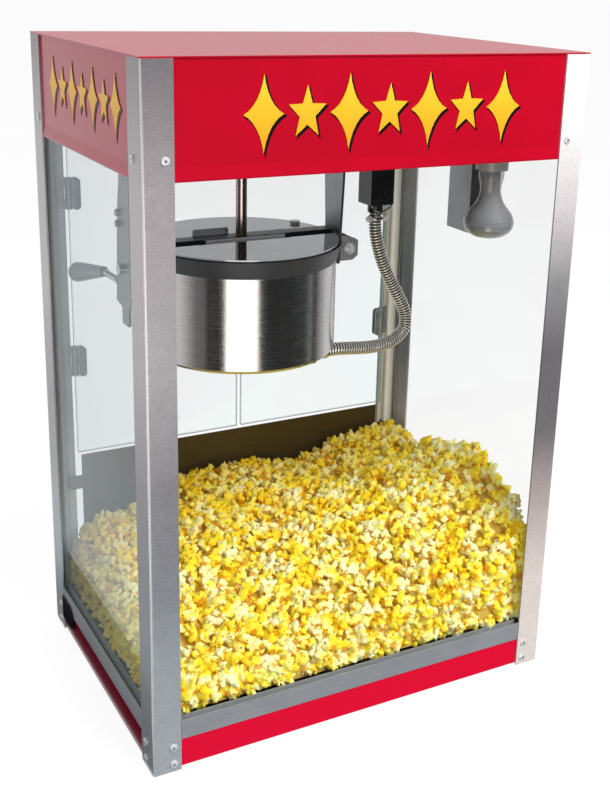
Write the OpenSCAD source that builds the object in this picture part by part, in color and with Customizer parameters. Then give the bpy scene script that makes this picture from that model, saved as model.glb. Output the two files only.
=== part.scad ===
// Countertop popcorn machine: glazed cabinet, tilting kettle, lamp, doors, sifting deck and tray.
// Origin at the middle of the base on the worktop; +Z up, front towards -Y, left side towards -X.

/* [Cabinet] */
// Width over the corner posts
cabinet_w = 510; // [505:1:515]
// Depth over the corner posts
cabinet_d = 364; // [360:1:368]
// Height from the worktop to the roof
cabinet_h = 750; // [745:1:755]
// Width of each post's front or rear flange
flange_front = 32; // [30:1:34]
// Width of each post's side flange
flange_side = 35; // [33:1:36]
// Height of the red skirt's top edge
skirt_top = 38; // [37:1:39]
// Height of the sill trim's top edge
sill_top = 61; // [60:1:62]
// Height of the sign panels' bottom edge
sign_bottom = 636.5; // [630:0.5:640]
// Height of the underside of the cabinet's ceiling
ceiling_z = 696; // [692:1:698]
// Thickness of the glass panes
glass_t = 4; // [3:0.5:4]

/* [Kettle] */
// Distance of the kettle's centre from the cabinet's centre line
kettle_x = -74; // [-76:1:-72]
// Height of the tilting axis
pivot_z = 512; // [510:1:514]
// Outer radius of the kettle's skin
kettle_r = 108; // [104:1:108]
// Outer radius of the flared rim
rim_r = 114; // [112:1:116]
// Height of the kettle skin's bottom edge
kettle_bottom = 408; // [406:1:412]
// Height of the rim's top edge
rim_top = 533; // [532:1:535]
// Radius of the pins that the kettle tilts on
trunnion_r = 6; // [5:0.5:6]
// Radius of the agitator's shaft
agitator_r = 6.35; // [6:0.05:6.5]

/* [Doors] */
// Bottom edge of the rear doors
door_bottom = 233; // [231:1:236]
// Top edge of the rear doors
door_top = 645; // [640:1:650]
// Thickness of the acrylic doors
door_t = 5; // [4:1:5]
// Heights of the middles of the two hinges
hinge_heights = [354, 564];

/* [Lamp] */
// Middle of the lamp, left to right
lamp_x = 190.5; // [188:0.5:192]
// Middle of the lamp, front to back
lamp_y = -105; // [-107:1:-104]
// Largest radius of the reflector bulb
bulb_r = 29.6; // [28:0.2:31]

/* [Tray and deck] */
// Width of the kernel tray
tray_w = 300; // [260:10:300]
// Length of the kernel tray
tray_l = 236; // [200:4:236]
// Top face of the sifting deck
deck_top = 54.8; // [54:0.1:55]

/* [Hidden] */
$fn = 48;
hx = cabinet_w / 2;
hy = cabinet_d / 2;
sheet = 1.2;
post_t = 2;
roof_t = 1.5;
gap = 0.3;
running = 0.06;
post_bottom = 1;
roof_bottom = cabinet_h - roof_t;
post_inner_x = hx - post_t;
post_inner_y = hy - post_t;
between_x = hx - flange_front - 0.5;
between_y = hy - flange_side - 0.5;
crease_z = 650;
door_y = 167.5;
hinge_x = 220;
hinge_y = 173;
hinge_pin_r = 2;
knuckle_r = 4.5;
// How far out the clamps and the panes reach
clamp_reach = 214.9;
pane_reach = 221.8;
hanger_t = 3;
hanger_right_x = 43;
hanger_left_x = -210;
lid_z = rim_top + 1;
lid_r = 110.5;
lid_pin_y = 11.3;
lid_pin_z = rim_top + 3.2;
lid_pin_r = 1;
barrel_r = 2;
hub_z = 633;
box_x = 101;
box_bottom = 562.5;
rocker_places = [-70, -30, 10];
rocker_z = 722;
rocker_y = 176;
tray_z = 12;
tray_h = 22;
tray_y = hy - 4 - tray_l;

// ---------- helpers ----------

// Box from one corner to the opposite one
module block(low, high) {
    translate(low) cube(high - low);
}

// Cylinder along X, between two X positions
module rod_x(x0, x1, r, y, z) {
    translate([x0, y, z]) rotate([0, 90, 0]) cylinder(h = x1 - x0, r = r);
}

// Cylinder along Y, between two Y positions
module rod_y(y0, y1, r, x, z) {
    translate([x, y1, z]) rotate([90, 0, 0]) cylinder(h = y1 - y0, r = r);
}

// Cone between two points
module taper(a, b, ra, rb) {
    d = b - a;
    length = norm(d);
    turn = atan2(d[1], d[0]);
    lean = acos(d[2] / length);
    translate(a) rotate([0, lean, turn]) cylinder(h = length, r1 = ra, r2 = rb);
}

// A copy on each of the four corners
module at_corners() {
    for (mx = [0, 1]) {
        for (my = [0, 1]) {
            mirror([mx, 0, 0]) mirror([0, my, 0]) children();
        }
    }
}

// The shape and its mirror image on the other side of the cabinet
module left_and_right() {
    children();
    mirror([1, 0, 0]) children();
}

// ---------- cabinet ----------

// Places of the screws on one flange: near the sign's lower edge and near the floor
screw_heights = [10.5, 31, 657];
screw_in = 23;

module corner_posts() {
    color("silver") at_corners() corner_post();
}

// L angle with a rounded outer corner, drilled for its screws; the front-right one, mirrored out
module corner_post() {
    round_r = 3;
    difference() {
        translate([0, 0, post_bottom]) linear_extrude(roof_bottom - post_bottom) difference() {
            union() {
                translate([hx - flange_front, -hy]) square([flange_front - round_r, post_t]);
                translate([hx - post_t, -hy + round_r]) square([post_t, flange_side - round_r]);
                intersection() {
                    translate([hx - round_r, -hy + round_r]) circle(round_r);
                    translate([hx - round_r, -hy]) square(round_r);
                }
            }
            translate([hx - round_r, -hy + round_r]) circle(round_r - post_t);
        }
        for (z = screw_heights) {
            rod_y(-hy - 1, -hy + post_t + 1, 2.2, hx - screw_in, z);
            rod_x(hx - post_t - 1, hx + 1, 2.2, -hy + screw_in, z);
        }
    }
}

// Pan-head screws, three on each flange
module corner_screws() {
    color("gainsboro") at_corners() {
        for (z = screw_heights) {
            translate([hx - screw_in, -hy, z]) rotate([90, 0, 0]) pan_screw();
            translate([hx, -hy + screw_in, z]) rotate([0, 90, 0]) pan_screw();
        }
    }
}

module pan_screw() {
    rotate_extrude() polygon([[0, -post_t + 0.1], [2, -post_t + 0.1], [2, 0], [4.4, 0], [4.4, 0.8],
        [3.6, 1.7], [2, 2], [0, 2]]);
}

// Folded pan that carries the feet and the tray, with a raised step under the deck
module base_pan() {
    wall_x = post_inner_x - 2.8;
    wall_y = post_inner_y - 2.8;
    step_x = 243.5;
    step_y = 170.5;
    shoulder = skirt_top + 14.2;
    color("darkgray") difference() {
        union() {
            block([-wall_x, -wall_y, 6], [wall_x, wall_y, shoulder]);
            block([-step_x, -step_y, shoulder - sheet], [step_x, step_y, deck_top - sheet]);
        }
        block([-wall_x + sheet, -wall_y + sheet, 6 + sheet],
            [wall_x - sheet, wall_y - sheet, shoulder - sheet]);
        block([-step_x + 14, -step_y + 14, 40], [step_x - 14, step_y - 14, 60]);
        block([-tray_w / 2 - 3, 150, tray_z - 3], [tray_w / 2 + 3, 200, tray_z + tray_h + 3]);
    }
}

// Popcorn floor with rows of sifting slots above the tray
module deck_panel() {
    slot_r = 4;
    color("dimgray") difference() {
        block([-244, -171, deck_top - sheet], [244, 170, deck_top]);
        for (x = [-125:25:125]) {
            for (y = [-20:40:140]) {
                translate([x - slot_r, y, deck_top - 2]) cube([2 * slot_r, 22, 4]);
                translate([x, y, deck_top - 2]) cylinder(h = 4, r = slot_r);
                translate([x, y + 22, deck_top - 2]) cylinder(h = 4, r = slot_r);
            }
        }
    }
}

// Red painted skirts behind the posts' flanges; the rear one is cut out for the tray
module skirt_panels() {
    side_y = post_inner_y - sheet - gap;
    color("crimson") {
        skirt_front();
        left_and_right() block([post_inner_x - sheet, -side_y, 4], [post_inner_x, side_y, skirt_top]);
        difference() {
            mirror([0, 1, 0]) skirt_front();
            block([-tray_w / 2 - 3, 170, tray_z - 3], [tray_w / 2 + 3, 190, tray_z + tray_h + 3]);
        }
    }
}

module skirt_front() {
    reach = post_inner_x - sheet - gap;
    block([-reach, -post_inner_y, 4], [reach, -post_inner_y + sheet, skirt_top]);
}

// Aluminium channels between the posts that hold the bottom edges of the panes
module sill_trims() {
    color("lightgray") {
        sill(between_x, hy);
        mirror([0, 1, 0]) sill(between_x, hy);
        rotate([0, 0, 90]) sill(between_y, hx);
        rotate([0, 0, -90]) sill(between_y, hx);
    }
}

// Channel along X at the given distance in front of the middle: outer leg, web and low inner leg
module sill(half_length, distance) {
    face = -distance + 0.4;
    web = skirt_top + 16;
    translate([-half_length, 0, 0]) rotate([90, 0, 90]) linear_extrude(2 * half_length) {
        translate([face, skirt_top + 0.2]) square([sheet, sill_top - skirt_top - 0.2]);
        translate([face, web - sheet]) square([10.1, sheet]);
        translate([face + 8.9, web - sheet]) square([sheet, sill_top - web + sheet]);
    }
}

// Small black clips over the rear ends of the side sills
module corner_clips() {
    color("black") left_and_right() difference() {
        union() {
            block([post_inner_x, 104, 22], [hx + 0.4, 146, skirt_top - 0.2]);
            translate([hx - 0.2, 0, 0]) rotate([90, 0, 90]) linear_extrude(1.7)
                polygon([[108, 20], [146, 20], [146, 50], [116, 50], [104, 42], [104, 26]]);
        }
        for (y = [116, 136]) {
            rod_x(hx + 0.5, hx + 3, 2.5, y, 30);
        }
    }
}

module glass_front() {
    y = -post_inner_y + sheet + 0.5;
    color("azure", 0.3) block([-251, y, skirt_top + 16.4], [251, y + glass_t, 690]);
}

module glass_left() {
    color("azure", 0.3) mirror([1, 0, 0]) glass_side();
}

module glass_right() {
    color("azure", 0.3) glass_side();
}

module glass_side() {
    x = post_inner_x - sheet - 0.5;
    block([x - glass_t, -173.4, skirt_top + 16.4], [x, 166, 690]);
}

// Sheet sign with a crease and a hem that leans out between the posts
module sign_sheet(half_width, half_hem, distance) {
    block([-half_width, -distance, crease_z], [half_width, -distance + sheet, roof_bottom]);
    translate([-half_hem, 0, 0]) rotate([90, 0, 90]) linear_extrude(2 * half_hem)
        polygon([[-distance, crease_z], [-distance - 1.7, sign_bottom + 1.5],
            [-distance - 1.2, sign_bottom], [-distance - 0.2, sign_bottom],
            [-distance + sheet, crease_z]]);
}

module sign_front() {
    color("crimson") sign_sheet(post_inner_x - sheet - gap, between_x, post_inner_y);
}

module sign_left() {
    color("crimson") rotate([0, 0, -90])
        sign_sheet(post_inner_y - sheet - gap, between_y, post_inner_x);
}

module sign_right() {
    color("crimson") rotate([0, 0, 90])
        sign_sheet(post_inner_y - sheet - gap, between_y, post_inner_x);
}

// Rear header, cut out for the three switches and the power inlet
module header_rear() {
    reach = post_inner_x - sheet - gap;
    color("crimson") difference() {
        block([-reach, post_inner_y - sheet, 650], [reach, post_inner_y, roof_bottom]);
        for (x = rocker_places) {
            block([x - 11.1, 170, rocker_z - 16.6], [x + 11.1, 190, rocker_z + 16.6]);
        }
        block([inlet_x - 30, 170, rocker_z - 20], [inlet_x + 30, 190, rocker_z + 20]);
    }
}

module roof_panel() {
    color("crimson") translate([0, 0, roof_bottom]) linear_extrude(roof_t) difference() {
        square([cabinet_w, cabinet_d], center = true);
        for (sx = [-1, 1]) {
            for (sy = [-1, 1]) {
                translate([sx * hx, sy * hy]) circle(0.8);
            }
        }
    }
}

// Ceiling that carries the motor, the hangers, the lamp and the wiring box
module canopy_floor() {
    color("gray") difference() {
        block([-247, -173.5, ceiling_z], [247, 175, ceiling_z + sheet]);
        translate([kettle_x, 0, ceiling_z - 1]) cylinder(h = 4, r = 12);
    }
}

// Stainless board below the doors, held by a bracket on each side
module rear_board() {
    color("slategray") {
        block([-217, 171, sill_top + gap], [217, 172.5, 228]);
        left_and_right() for (z = [80, 182]) {
            block([216, 171, z], [232, 172.5, z + 18]);
            block([230.5, 172.5, z], [232, post_inner_y, z + 18]);
        }
    }
}

module rubber_feet() {
    color("black") at_corners() translate([215, 150, 0]) cylinder(h = 6, r = 14);
}

// ---------- doors ----------

// Knuckles and leaves fixed to the rear posts, two hinges on each side
module hinge_leaves() {
    color("silver") left_and_right() for (z = hinge_heights) {
        difference() {
            union() {
                block([224.5, post_inner_y - 1.5, z - 19], [234, post_inner_y, z + 19]);
                for (dz = [-19, 7]) {
                    translate([hinge_x, hinge_y, z + dz]) cylinder(h = 12, r = knuckle_r);
                    block([hinge_x, 174.6, z + dz], [226.5, 176.4, z + dz + 12]);
                    block([224.7, 174.6, z + dz], [226.5, post_inner_y, z + dz + 12]);
                }
            }
            translate([hinge_x, hinge_y, z - 20]) cylinder(h = 40, r = hinge_pin_r + running);
        }
    }
}

// Clear sheet, notched at its outer edge for the hinges
module door_pane() {
    color("azure", 0.3) difference() {
        block([2.6, door_y, door_bottom], [pane_reach, door_y + door_t, door_top]);
        rod_y(door_y - 1, door_y + door_t + 1, 2.1, 14, knob_z);
        for (z = hinge_heights) {
            block([clamp_reach - 0.9, door_y - 1, z - 21], [pane_reach + 1, door_y + door_t + 1, z + 21]);
        }
    }
}

module door_left() {
    mirror([1, 0, 0]) door_pane();
}

module door_right() {
    door_pane();
}

// Clamps on the pane with chamfered jaws, their moving knuckle, pin and screws
module door_hinge() {
    clamp_x = 207.5;
    chamfer = 3;
    jaw = 2;
    for (z = hinge_heights) {
        color("silver") difference() {
            union() {
                translate([0, door_y + door_t + jaw, z]) rotate([90, 0, 0])
                    linear_extrude(door_t + 2 * jaw)
                        polygon([[clamp_reach, -19], [clamp_x + chamfer, -19], [clamp_x, -19 + chamfer],
                            [clamp_x, 19 - chamfer], [clamp_x + chamfer, 19], [clamp_reach, 19]]);
                translate([hinge_x, hinge_y, z - 6.7]) cylinder(h = 13.4, r = knuckle_r);
                block([clamp_reach - 0.9, 171, z - 6.7], [hinge_x, 174.4, z + 6.7]);
            }
            block([196, door_y - 0.1, z - 20], [clamp_reach - 0.8, door_y + door_t + 0.1, z + 20]);
            translate([hinge_x, hinge_y, z - 8]) cylinder(h = 16, r = hinge_pin_r);
        }
        color("dimgray") translate([hinge_x, hinge_y, z - 18.8]) cylinder(h = 37.6, r = hinge_pin_r);
        color("gainsboro") for (dz = [-11, 11]) {
            rod_y(door_y - jaw - 2, door_y - jaw, 2.8, 211.3, z + dz);
        }
    }
}

module door_hinge_left() {
    mirror([1, 0, 0]) door_hinge();
}

module door_hinge_right() {
    door_hinge();
}

knob_z = 400;

// Turned knob outside the pane and its washer inside
module door_knob() {
    color("black") translate([14, door_y + door_t, knob_z]) rotate([-90, 0, 0]) rotate_extrude()
        polygon([[0, -door_t - 2], [4, -door_t - 2], [4, -door_t], [2, -door_t], [2, 0], [6, 0],
            [5, 4], [9, 8], [9, 10], [7, 11.4], [0, 11.4]]);
}

module door_knob_left() {
    mirror([1, 0, 0]) door_knob();
}

module door_knob_right() {
    door_knob();
}

// ---------- kettle ----------

// A ring or dish turned about the kettle's upright centre line
module turned(points) {
    translate([kettle_x, 0, 0]) rotate_extrude($fn = 96) polygon(points);
}

// Polished outer skin, open at the top
module kettle_shell() {
    bevel = 4;
    color("lightgray") turned([[0, kettle_bottom], [kettle_r - bevel, kettle_bottom],
        [kettle_r, kettle_bottom + bevel], [kettle_r, rim_top - 19], [kettle_r - 1.4, rim_top - 19],
        [kettle_r - 1.4, kettle_bottom + 5], [kettle_r - 5, kettle_bottom + 1.5],
        [0, kettle_bottom + 1.5]]);
}

// Cooking pan inside the skin
module kettle_pan() {
    color("gray") turned([[0, 438], [96, 438], [102, 444], [102, rim_top - 2], [100, rim_top - 2],
        [100, 445], [95, 440], [0, 440]]);
}

// Dark flared rim that joins the pan and the skin
module kettle_rim() {
    color("dimgray") turned([[102.2, rim_top - 17], [103.4, rim_top - 19], [kettle_r, rim_top - 19],
        [rim_r, rim_top], [rim_r - 2, rim_top], [kettle_r - 1, rim_top - 15.5],
        [102.2, rim_top - 15.5]]);
}

// Recessed cover under the skin with the box that the conduit enters
module kettle_base() {
    color("dimgray") {
        turned([[0, kettle_bottom - 6], [74, kettle_bottom - 6], [80, kettle_bottom - 2],
            [80, kettle_bottom], [0, kettle_bottom]]);
        block([-44, gland_y - 14, gland_z - 9], [2, gland_y + 14, kettle_bottom - 5]);
    }
}

// Ring heater pressed against the pan's underside
module heating_element() {
    color("brown") {
        translate([kettle_x, 0, 433.9]) rotate_extrude($fn = 64) translate([68, 0]) circle(4);
        translate([kettle_x, 0, 433.9]) rotate_extrude($fn = 64) translate([40, 0]) circle(4);
    }
}

module thermostat() {
    color("white") translate([kettle_x, 0, 424]) cylinder(h = 13.9, r = 10);
}

// Bar across the rim with the lugs that both lids hinge on
module lid_crossbar() {
    bar_l = kettle_x - rim_r + 1;
    bar_r = kettle_x + rim_r - 1;
    color("dimgray") difference() {
        union() {
            block([bar_l, -9, rim_top], [bar_r, 9, rim_top + 5.4]);
            for (side = [-1, 1]) {
                for (x = [-56, 49]) {
                    rod_x(kettle_x + x, kettle_x + x + 7, barrel_r, side * lid_pin_y, lid_pin_z);
                    block([kettle_x + x, side * 9.6 - 1.2, lid_pin_z - 1.6],
                        [kettle_x + x + 7, side * 9.6 + 1.2, lid_pin_z + 1.6]);
                }
            }
        }
        translate([kettle_x, 0, rim_top - 1]) cylinder(h = 8, r = 8);
        for (side = [-1, 1]) {
            rod_x(kettle_x - 60, kettle_x + 60, lid_pin_r, side * lid_pin_y, lid_pin_z);
        }
    }
}

module lid_hinge_pins() {
    color("silver") for (side = [-1, 1]) {
        rod_x(kettle_x - 56, kettle_x + 56, lid_pin_r, side * lid_pin_y, lid_pin_z);
    }
}

// Bush in the crossbar that steadies the agitator's shaft
module shaft_bush() {
    color("goldenrod") translate([kettle_x, 0, rim_top - 1]) difference() {
        cylinder(h = 7.4, r = 8);
        translate([0, 0, -1]) cylinder(h = 10, r = agitator_r + running);
    }
}

// Half-round flap with its barrel on the hinge pin
module lid_half() {
    color("silver") difference() {
        union() {
            intersection() {
                translate([kettle_x, 0, lid_z]) cylinder(h = 1.6, r = lid_r, $fn = 96);
                block([kettle_x - 120, -120, lid_z], [kettle_x + 120, -lid_pin_y, lid_z + 2]);
            }
            rod_x(kettle_x - 48.4, kettle_x + 48.4, barrel_r, -lid_pin_y, lid_pin_z);
        }
        rod_x(kettle_x - 60, kettle_x + 60, lid_pin_r + running, -lid_pin_y, lid_pin_z);
        for (x = [-52.5, 52.5]) {
            block([kettle_x + x - 4.1, -15, lid_z - 2], [kettle_x + x + 4.1, -8, lid_z + 8]);
        }
    }
}

module front_lid() {
    lid_half();
}

// The rear flap has a lifting plate near its hinge and a small stop at its edge
module rear_lid() {
    mirror([0, 1, 0]) lid_half();
    color("dimgray") {
        translate([kettle_x - 52, 18, lid_z + 1.6]) rotate([90, 0, 0]) linear_extrude(2.4)
            polygon([[0, 0], [43, 0], [43, 7], [41, 9], [2, 9], [0, 7]]);
        translate([kettle_x + 90, 44, lid_z + 1.6]) cylinder(h = 3.4, r = 6);
    }
}

// Shaft from the pan's floor up to the drive, with a flat tongue on top
module agitator_shaft() {
    color("rosybrown") {
        translate([kettle_x, 0, 440.5]) cylinder(h = 190.5, r = agitator_r);
        intersection() {
            translate([kettle_x, 0, 630]) cylinder(h = 12, r = agitator_r);
            block([kettle_x - 2.5, -10, 630], [kettle_x + 2.5, 10, 642]);
        }
    }
}

// Stirring blades and their hub at the bottom of the shaft
module agitator_blades() {
    color("silver") difference() {
        union() {
            translate([kettle_x, 0, 441]) cylinder(h = 16, r = 12);
            block([kettle_x - 90, -2, 441.5], [kettle_x + 90, 2, 449]);
            rotate_about_shaft(60) block([kettle_x - 55, -2, 441.5], [kettle_x + 55, 2, 449]);
        }
        translate([kettle_x, 0, 440]) cylinder(h = 20, r = agitator_r);
    }
}

module rotate_about_shaft(turn) {
    translate([kettle_x, 0, 0]) rotate([0, 0, turn]) translate([-kettle_x, 0, 0]) children();
}

// Pins and collars on both sides of the kettle
module trunnion_pins() {
    wall = kettle_r - 1.4;
    color("silver") {
        rod_x(kettle_x + wall + 1.4, hanger_right_x + hanger_t + 22, trunnion_r, 0, pivot_z);
        rod_x(kettle_x + wall, hanger_right_x - 0.6, 12, 0, pivot_z - 9);
        rod_x(hanger_left_x - hanger_t - 6, kettle_x - wall - 1.4, trunnion_r, 0, pivot_z);
        rod_x(kettle_x - wall - 9, kettle_x - wall, 12, 0, pivot_z - 9);
    }
}

// Bent rod clamped on the left pin, running back to the grip
module handle_rod() {
    knee = [-199, 60, 483];
    start = [-198, 0, 503];
    color("silver") difference() {
        union() {
            rod_x(-205, -191.5, 10, 0, pivot_z);
            taper(start, knee, 4, 4);
            translate(knee) sphere(4.6);
            taper(knee, grip_start, 4, 4);
        }
        rod_x(-210, -185, trunnion_r, 0, pivot_z);
    }
}

grip_start = [-205, 92, 486];
grip_end = [-219, 147, 474];

// Turned grip: it swells towards a round end
module handle_grip() {
    axis = grip_end - grip_start;
    length = norm(axis);
    end_r = 12;
    turn = atan2(axis[1], axis[0]);
    lean = acos(axis[2] / length);
    dome = [for (a = [0:15:90]) [end_r * cos(a), length + end_r * sin(a)]];
    color("gray") translate(grip_start) rotate([0, lean, turn]) rotate_extrude()
        polygon(concat([[0, 0], [6, 0]], dome));
}

// Gland where the conduit enters the box under the kettle
gland_y = -30;
gland_z = 397.5;
conduit_r = 7.6;

module kettle_gland() {
    color("silver") difference() {
        rod_x(2, 22, conduit_r + 1.8, gland_y, gland_z);
        rod_x(6, 50, conduit_r + 0.4, gland_y, gland_z);
    }
}

// ---------- hangers and wiring ----------

// Plate in the YZ plane, given by its outline
module side_plate(x, outline) {
    translate([x, 0, 0]) rotate([90, 0, 90]) linear_extrude(hanger_t) polygon(outline);
}

module hanger_right() {
    color("silver") difference() {
        union() {
            side_plate(hanger_right_x, [[-22, ceiling_z], [-22, 600], [-15, 497], [15, 497], [22, 600],
                [22, ceiling_z]]);
            block([hanger_right_x, -22, ceiling_z - 3], [hanger_right_x + 20, 22, ceiling_z]);
        }
        rod_x(hanger_right_x - 1, hanger_right_x + 4, trunnion_r + running, 0, pivot_z);
    }
}

module hanger_left() {
    x = hanger_left_x - hanger_t;
    color("silver") difference() {
        union() {
            side_plate(x, [[-22, ceiling_z], [-22, 478], [-14, 468], [-14, 451], [-12, 449], [5, 449],
                [7, 451], [7, 468], [25, 471], [16, 575], [9, 610], [9, ceiling_z]]);
            block([x - 17, -22, ceiling_z - 3], [x + hanger_t, 9, ceiling_z]);
            for (z = [560, 572]) {
                rod_x(x - 4, x, 4, 10, z);
            }
        }
        rod_x(x - 1, x + 4, trunnion_r + running, 0, pivot_z);
    }
}

// Clamp on the right hanger's outer face with the pivot's end bearing and its bolt
module pivot_yoke() {
    x0 = hanger_right_x + hanger_t;
    color("dimgray") difference() {
        translate([x0, 15, 0]) rotate([90, 0, 0]) linear_extrude(30)
            polygon([[0, 500], [17, 500], [24, 505], [24, 523], [20, 526], [0, 530]]);
        block([x0 + 2, -11, 490], [x0 + 21.5, 11, 540]);
        rod_x(x0 - 1, x0 + 40, trunnion_r + running, 0, pivot_z);
    }
    color("silver") {
        rod_y(-16.5, -15, 7, x0 + 12, 514);
        rod_y(-19.5, -16.5, 4.4, x0 + 12, 514);
    }
}

// Wiring box hung from the ceiling, with the strain relief below it
module power_box() {
    color("black") {
        block([box_x - 15.5, -15, box_bottom], [box_x + 15.5, 15, 640]);
        block([box_x - 15.5, 11, 640], [box_x + 15.5, 15, ceiling_z]);
    }
    color("silver") difference() {
        translate([box_x, 0, box_bottom - 10]) cylinder(h = 10, r = conduit_r + 2);
        translate([box_x, 0, box_bottom - 11]) cylinder(h = 8, r = conduit_r + 0.4);
    }
}

// Route of the conduit from the box to the kettle's gland
conduit_route = [
    [box_x, 0, 554], [box_x, 0, 548], [101.2, 0, 540], [102, 0, 530], [104, 0, 519], [107, 0, 508],
    [111, 0, 496], [116, 0, 484.5], [121.8, 0, 473], [128.2, 0, 461], [135, -1, 449], [141.5, -2, 437],
    [146, -4, 425], [146.5, -7, 413], [142, -10, 403], [132, -13, 396], [119, -17, 392],
    [105, -20, 390.5], [91, -22, 390.5], [77, -25, 392], [63, -27, 394], [49, -29, 396],
    [36, gland_y, 397.3], [26, gland_y, gland_z], [18, gland_y, gland_z]
];

// A smooth point on the route: Catmull-Rom through the listed points
function clamp_index(i) = min(max(i, 0), len(conduit_route) - 1);
function route_point(i) = conduit_route[clamp_index(i)];
function smooth_point(i, t) =
    let (a = route_point(i - 1), b = route_point(i), c = route_point(i + 1), d = route_point(i + 2))
    0.5 * (2 * b + (c - a) * t + (2 * a - 5 * b + 4 * c - d) * t * t
        + (3 * b - a - 3 * c + d) * t * t * t);

// Rings of a tube around a path; the path stays near one upright plane, so its normal is a guide
module tube(path, r, sides) {
    last = len(path) - 1;
    guide = [0, 1, 0];
    rings = [for (i = [0:last])
        let (along = path[min(i + 1, last)] - path[max(i - 1, 0)],
            ahead = along / norm(along),
            across = cross(ahead, guide) / norm(cross(ahead, guide)),
            up = cross(across, ahead))
        for (s = [0:sides - 1])
            path[i] + r * (cos(360 * s / sides) * across + sin(360 * s / sides) * up)];
    walls = [for (i = [0:last - 1]) for (s = [0:sides - 1])
        let (a = i * sides + s, b = i * sides + (s + 1) % sides)
        [a, b, b + sides, a + sides]];
    start_cap = [[for (s = [sides - 1:-1:0]) s]];
    end_cap = [[for (s = [0:sides - 1]) last * sides + s]];
    polyhedron(rings, concat(start_cap, walls, end_cap));
}

module kettle_conduit() {
    steps = 3;
    spans = len(conduit_route) - 1;
    path = [for (i = [0:spans - 1]) for (k = [0:steps - 1]) smooth_point(i, k / steps),
        conduit_route[spans]];
    color("silver") tube(path, conduit_r, 12);
}

// ---------- drive ----------

// Gearbox and motor on the ceiling
module gear_motor() {
    color("dimgray") difference() {
        block([kettle_x - 42, -32, ceiling_z + 4], [kettle_x + 38, 32, ceiling_z + 26]);
        translate([kettle_x, 0, ceiling_z]) cylinder(h = 40, r = 5 + running);
    }
    color("gray") {
        block([kettle_x + 38, -26, ceiling_z + 4], [kettle_x + 98, 26, ceiling_z + 46]);
        for (x = [-36, 32]) {
            for (y = [-26, 26]) {
                translate([kettle_x + x, y, ceiling_z + sheet]) cylinder(h = 4 - sheet, r = 5);
            }
        }
    }
    color("peru") rod_x(kettle_x + 98, kettle_x + 112, 18, 0, ceiling_z + 25);
}

module motor_shaft() {
    color("silver") translate([kettle_x, 0, 670]) cylinder(h = ceiling_z + 24 - 670, r = 5);
}

// Hub with a cross slot for the agitator's tongue; the tongue swings out of it as the kettle tips
module drive_hub() {
    color("gray") difference() {
        union() {
            translate([kettle_x, 0, hub_z]) cylinder(h = 18, r = 14);
            translate([kettle_x, 0, hub_z + 18]) cylinder(h = 40, r = 9);
        }
        block([kettle_x - 2.9, -20, hub_z - 1], [kettle_x + 2.9, 20, hub_z + 12]);
        translate([kettle_x, 0, 670]) cylinder(h = 30, r = 5);
    }
}

// ---------- lamp ----------

// Two-faced shield hung from the ceiling beside the bulb
module lamp_bracket() {
    low = 533;
    color("silver") {
        block([190, -67, low], [191.5, -22, ceiling_z]);
        block([190, -67, low], [232, -65.5, ceiling_z]);
        block([190, -65.5, ceiling_z - 1.5], [232, -22, ceiling_z]);
    }
}

socket_z = 615;

module lamp_socket() {
    color("whitesmoke") {
        translate([lamp_x, lamp_y, socket_z]) cylinder(h = 30, r = 18.7);
        translate([lamp_x, lamp_y, socket_z + 30]) cylinder(h = ceiling_z - socket_z - 30, r = 11);
    }
}

// Reflector bulb: flat-domed face, widest ring, waisted neck
module lamp_bulb() {
    color("white") translate([lamp_x, lamp_y, 0]) rotate_extrude() polygon([[0, 536], [8, 536.3],
        [14, 537.2], [20, 539.4], [25, 543.2], [28.4, 548], [bulb_r, 553.5], [28.8, 558.5],
        [26.6, 563.5], [23, 568.5], [19, 573], [15.8, 578], [13.4, 584], [12.2, 590], [12.6, 597],
        [14, 603], [15, 608], [14.6, socket_z], [0, socket_z]]);
}

// ---------- tray, switches and inlet ----------

// Sheet drawer under the deck that catches unpopped kernels
module kernel_tray() {
    half = tray_w / 2;
    color("lightgray") {
        difference() {
            block([-half, tray_y, tray_z], [half, tray_y + tray_l, tray_z + tray_h]);
            block([-half + 1.2, tray_y + 1.2, tray_z + 1.2],
                [half - 1.2, tray_y + tray_l - 1.2, tray_z + tray_h + 1]);
        }
        block([-half - 8, post_inner_y + 0.4, tray_z - 5], [half + 8, hy - 0.4, tray_z + tray_h + 2.6]);
        block([-half, tray_y + tray_l - 1.2, tray_z], [half, post_inner_y + 0.4, tray_z + tray_h]);
        rod_y(hy - 0.4, hy + 2, 9, 0, tray_z + tray_h / 2);
    }
}

// Housings behind the rear header, one for each rocker
module switch_housings() {
    color("black") for (x = rocker_places) {
        translate([x, 0, rocker_z]) difference() {
            union() {
                block([-11, 164, -16.5], [11, post_inner_y, 16.5]);
                block([-12.5, post_inner_y, -18.5], [12.5, post_inner_y + 1.6, 18.5]);
            }
            block([-9.3, 166, -14.9], [9.3, 190, 14.9]);
            rod_x(-10.4, 10.4, 1.2 + running, rocker_y, 0);
        }
    }
}

// Rocker with its pivot pins, resting with its lower end pressed in
module rocker(x) {
    color("firebrick") translate([x, rocker_y, rocker_z]) {
        rotate([8, 0, 0]) rotate([90, 0, 90]) translate([0, 0, -9]) linear_extrude(18)
            polygon([[-3, -5], [4, -13], [6, -13], [4.4, 0], [6, 13], [4, 13], [-3, 5]]);
        rod_x(-10.2, 10.2, 1.2, 0, 0);
    }
}

module rocker_kettle() {
    rocker(rocker_places[0]);
}

module rocker_motor() {
    rocker(rocker_places[1]);
}

module rocker_lamp() {
    rocker(rocker_places[2]);
}

inlet_x = 80;

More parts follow.
